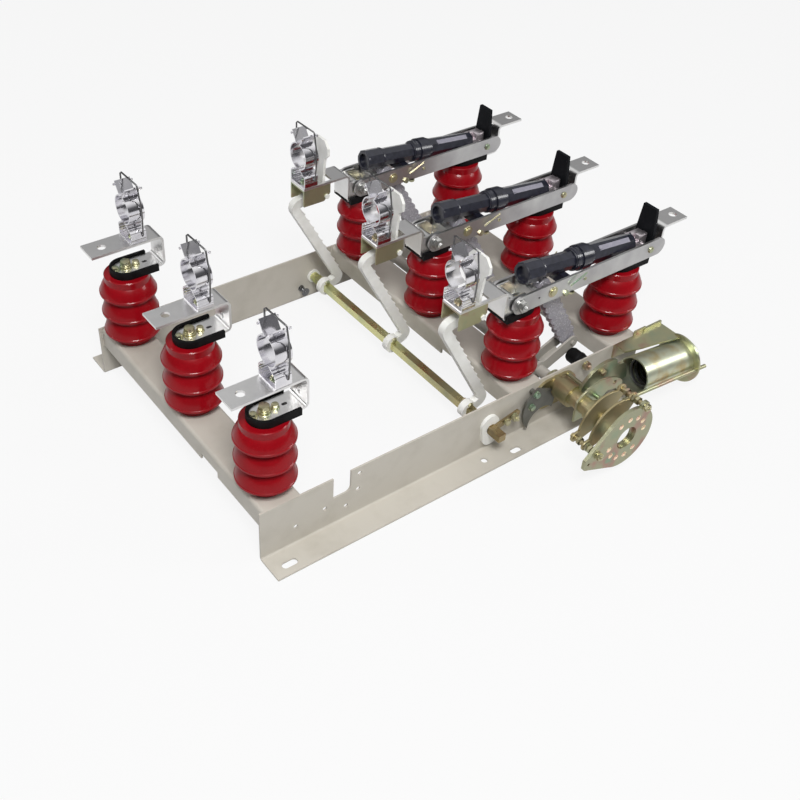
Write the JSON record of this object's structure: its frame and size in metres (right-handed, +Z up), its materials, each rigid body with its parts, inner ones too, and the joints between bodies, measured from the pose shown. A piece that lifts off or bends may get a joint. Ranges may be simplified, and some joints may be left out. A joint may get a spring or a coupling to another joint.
{
  "type": "load break switch",
  "caption": "Indoor high voltage load break switch on a sheet metal frame: red post insulators, swinging blades with arc tubes, fuse clips, trip levers and side drive.",
  "frame": {"origin": "on the floor, midway between the four foot slots", "axes": "+X from the fuse end towards the switch contacts, +Y from the drive side to the far side, +Z up"},
  "size_m": [0.896, 0.734, 0.3897],
  "materials": {
    "frame_paint": "warm light grey enamel, satin",
    "epoxy": "deep red moulded epoxy, glossy",
    "rubber": "black, matt",
    "tinned": "tin plated copper, fine rolled grain",
    "silver": "bright silver plating",
    "dark_steel": "blackened steel, dull",
    "wire": "dark spring wire",
    "zinc": "yellow passivated zinc",
    "nylon": "milky white nylon",
    "tube": "dark blue black moulding, half gloss",
    "fin": "matt black arc proof board",
    "blade_metal": "tin plated copper bar",
    "link_resin": "grey glass filled resin",
    "shaft_paint": "warm grey enamel"
  },
  "bodies": {
    "frame": {"near_side_beam": "frame_paint", "far_side_beam": "frame_paint", "front_channel": "frame_paint", "middle_channel": "frame_paint", "rear_channel": "frame_paint", "front_insulators": "epoxy", "middle_insulators": "epoxy", "rear_insulators": "epoxy", "front_boots": "rubber", "middle_boots": "rubber", "rear_boots": "rubber", "front_terminals": "tinned", "middle_terminals": "tinned", "rear_terminals": "tinned", "fuse_clips": "silver", "clip_bails": "wire", "striker_hangers": "zinc", "pivot_pins": "zinc", "rear_fins": "fin", "shaft_bearings": "zinc", "trip_bushes": "nylon", "hub_journal": "zinc", "mechanism_bracket": "zinc", "spring_cylinder": "zinc", "spring_plates": "zinc", "sickle_plate": "dark_steel"},
    "main_shaft": {"drive_shaft": "shaft_paint", "drive_cranks": "shaft_paint"},
    "operating_disc": {"operating_disc": "zinc", "ring_plates": "zinc"},
    "trip_shaft": {"trip_shaft": "zinc", "trip_levers": "nylon"},
    "blade_near": {"blade_near": "blade_metal", "arc_tube_near": "tube"},
    "link_near": {"link_near": "link_resin"},
    "striker_near": {"striker_plate_near": "nylon"},
    "blade_middle": {"blade_middle": "blade_metal", "arc_tube_middle": "tube"},
    "link_middle": {"link_middle": "link_resin"},
    "striker_middle": {"striker_plate_middle": "nylon"},
    "blade_far": {"blade_far": "blade_metal", "arc_tube_far": "tube"},
    "link_far": {"link_far": "link_resin"},
    "striker_far": {"striker_plate_far": "nylon"}
  },
  "joints": [
    {"name": "main_shaft_turn", "type": "hinge", "parent": "frame", "child": "main_shaft", "pos_m": [0.188, 0, 0.078], "axis": [0, -1, 0], "range_deg": [0, 40.9]},
    {"name": "operating_disc_turn", "type": "hinge", "parent": "frame", "child": "operating_disc", "pos_m": [0.188, -0.42, 0.078], "axis": [0, 1, 0], "range_deg": [0, 90]},
    {"name": "trip_shaft_turn", "type": "hinge", "parent": "frame", "child": "trip_shaft", "pos_m": [0.046, 0, 0.047], "axis": [0, -1, 0], "range_deg": [0, 6], "stiffness_Nm_per_rad": 2, "springref_deg": -5.73},
    {"name": "blade_near_turn", "type": "hinge", "parent": "frame", "child": "blade_near", "pos_m": [0.1, -0.21, 0.257], "axis": [0, -1, 0], "range_deg": [0, 45]},
    {"name": "link_near_turn", "type": "hinge", "parent": "blade_near", "child": "link_near", "pos_m": [0.168, -0.21, 0.257], "axis": [0, -1, 0], "range_deg": [-51.3, 0]},
    {"name": "striker_near_turn", "type": "hinge", "parent": "frame", "child": "striker_near", "pos_m": [0.0275, -0.21, 0.26], "axis": [0, -1, 0], "range_deg": [-12, 0]},
    {"name": "blade_middle_turn", "type": "hinge", "parent": "frame", "child": "blade_middle", "pos_m": [0.1, 0, 0.257], "axis": [0, -1, 0], "range_deg": [0, 45]},
    {"name": "link_middle_turn", "type": "hinge", "parent": "blade_middle", "child": "link_middle", "pos_m": [0.168, 0, 0.257], "axis": [0, -1, 0], "range_deg": [-51.3, 0]},
    {"name": "striker_middle_turn", "type": "hinge", "parent": "frame", "child": "striker_middle", "pos_m": [0.0275, 0, 0.26], "axis": [0, -1, 0], "range_deg": [-12, 0]},
    {"name": "blade_far_turn", "type": "hinge", "parent": "frame", "child": "blade_far", "pos_m": [0.1, 0.21, 0.257], "axis": [0, -1, 0], "range_deg": [0, 45]},
    {"name": "link_far_turn", "type": "hinge", "parent": "blade_far", "child": "link_far", "pos_m": [0.168, 0.21, 0.257], "axis": [0, -1, 0], "range_deg": [-51.3, 0]},
    {"name": "striker_far_turn", "type": "hinge", "parent": "frame", "child": "striker_far", "pos_m": [0.0275, 0.21, 0.26], "axis": [0, -1, 0], "range_deg": [-12, 0]}
  ],
  "couplings": [
    {"joint": "blade_near_turn", "follows": "main_shaft_turn", "ratio": 1.0998},
    {"joint": "link_near_turn", "follows": "main_shaft_turn", "ratio": -1.2521},
    {"joint": "striker_near_turn", "follows": "trip_shaft_turn", "ratio": -2},
    {"joint": "blade_middle_turn", "follows": "main_shaft_turn", "ratio": 1.0998},
    {"joint": "link_middle_turn", "follows": "main_shaft_turn", "ratio": -1.2521},
    {"joint": "striker_middle_turn", "follows": "trip_shaft_turn", "ratio": -2},
    {"joint": "blade_far_turn", "follows": "main_shaft_turn", "ratio": 1.0998},
    {"joint": "link_far_turn", "follows": "main_shaft_turn", "ratio": -1.2521},
    {"joint": "striker_far_turn", "follows": "trip_shaft_turn", "ratio": -2}
  ]
}
